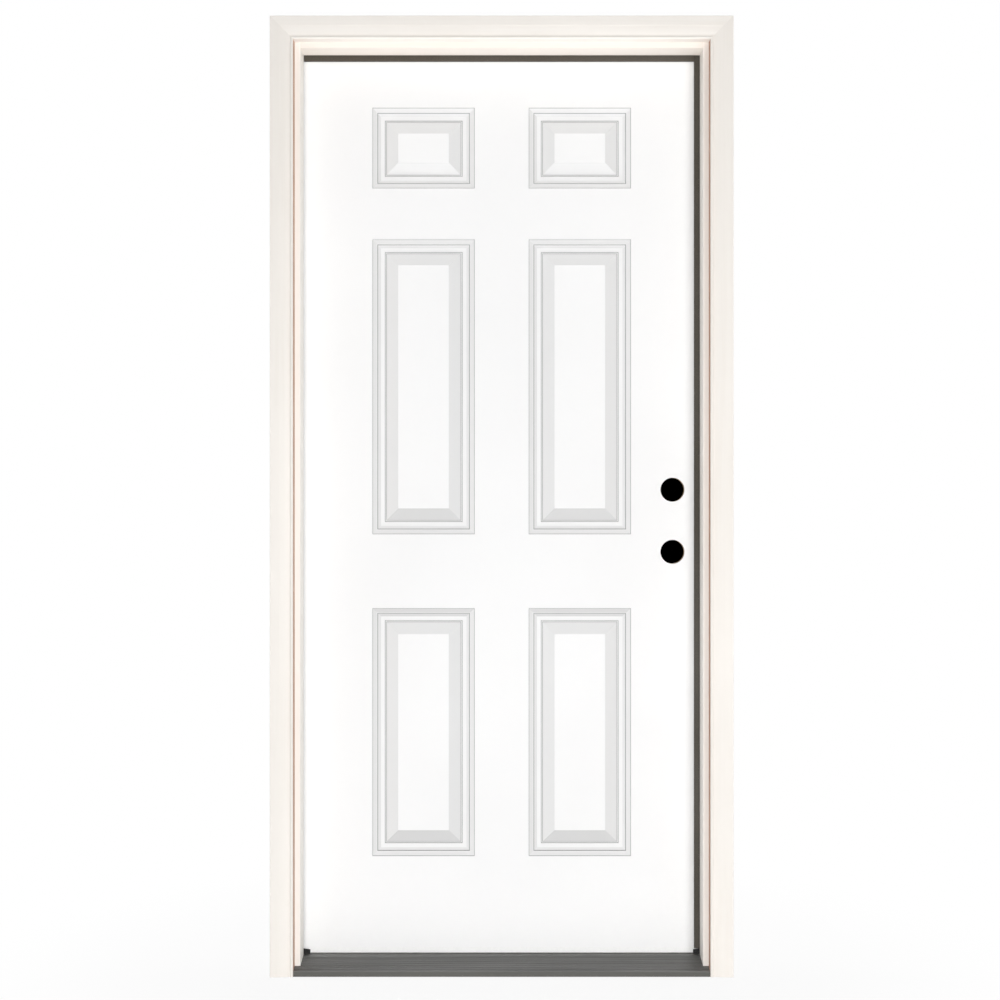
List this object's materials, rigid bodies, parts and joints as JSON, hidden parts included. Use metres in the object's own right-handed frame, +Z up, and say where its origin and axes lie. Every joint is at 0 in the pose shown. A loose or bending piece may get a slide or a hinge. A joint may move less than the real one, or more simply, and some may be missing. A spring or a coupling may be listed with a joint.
{
  "type": "panelled front door",
  "caption": "Prehung entry door: pressed steel slab with raised panels and lock bores, hung on butt hinges in a rabbeted wood frame with casing, weatherstrip and sill.",
  "frame": {"origin": "middle of the sill's underside, in the plane of the jambs' outside edges, where the casing meets the wall", "axes": "+X to the right as seen from outside, +Y into the house, +Z up"},
  "size_m": [1.016, 0.16, 2.1067],
  "materials": {
    "primed_steel": "smooth white primer on pressed steel",
    "primed_wood": "cream primer on finger-jointed pine",
    "bare_wood": "bare planed pine",
    "foam": "rigid polyurethane foam",
    "sweep_vinyl": "white vinyl",
    "bronze_vinyl": "soft bronze vinyl",
    "magnet": "flexible magnet",
    "pad_foam": "black closed-cell foam",
    "sill_aluminium": "dark grey anodised extrusion",
    "sill_composite": "dark composite",
    "hinge_steel": "satin zinc plate"
  },
  "bodies": {
    "frame": {"hinge_jamb": "primed_wood", "strike_jamb": "primed_wood", "head_jamb": "primed_wood", "hinge_brickmould": "primed_wood", "strike_brickmould": "primed_wood", "head_brickmould": "primed_wood", "hinge_seal": "bronze_vinyl", "strike_seal": "bronze_vinyl", "head_seal": "bronze_vinyl", "strike_magnet": "magnet", "head_magnet": "magnet", "hinge_corner_pad": "pad_foam", "strike_corner_pad": "pad_foam", "sill_substrate": "sill_composite", "sill_deck": "sill_aluminium", "sill_cap": "sill_composite", "top_hinge_jamb_leaf": "hinge_steel", "top_hinge_pin": "hinge_steel", "middle_hinge_jamb_leaf": "hinge_steel", "middle_hinge_pin": "hinge_steel", "bottom_hinge_jamb_leaf": "hinge_steel", "bottom_hinge_pin": "hinge_steel"},
    "door": {"exterior_skin": "primed_steel", "interior_skin": "primed_steel", "foam_core": "foam", "hinge_stile": "bare_wood", "lock_stile": "bare_wood", "lock_block": "bare_wood", "top_rail": "bare_wood", "bottom_rail": "bare_wood", "door_sweep": "sweep_vinyl", "top_hinge_door_leaf": "hinge_steel", "middle_hinge_door_leaf": "hinge_steel", "bottom_hinge_door_leaf": "hinge_steel"}
  },
  "joints": [
    {"name": "door_swing", "type": "hinge", "parent": "frame", "child": "door", "pos_m": [-0.45563, 0.12225, 0], "axis": [0, 0, 1], "range_deg": [0, 170]}
  ]
}
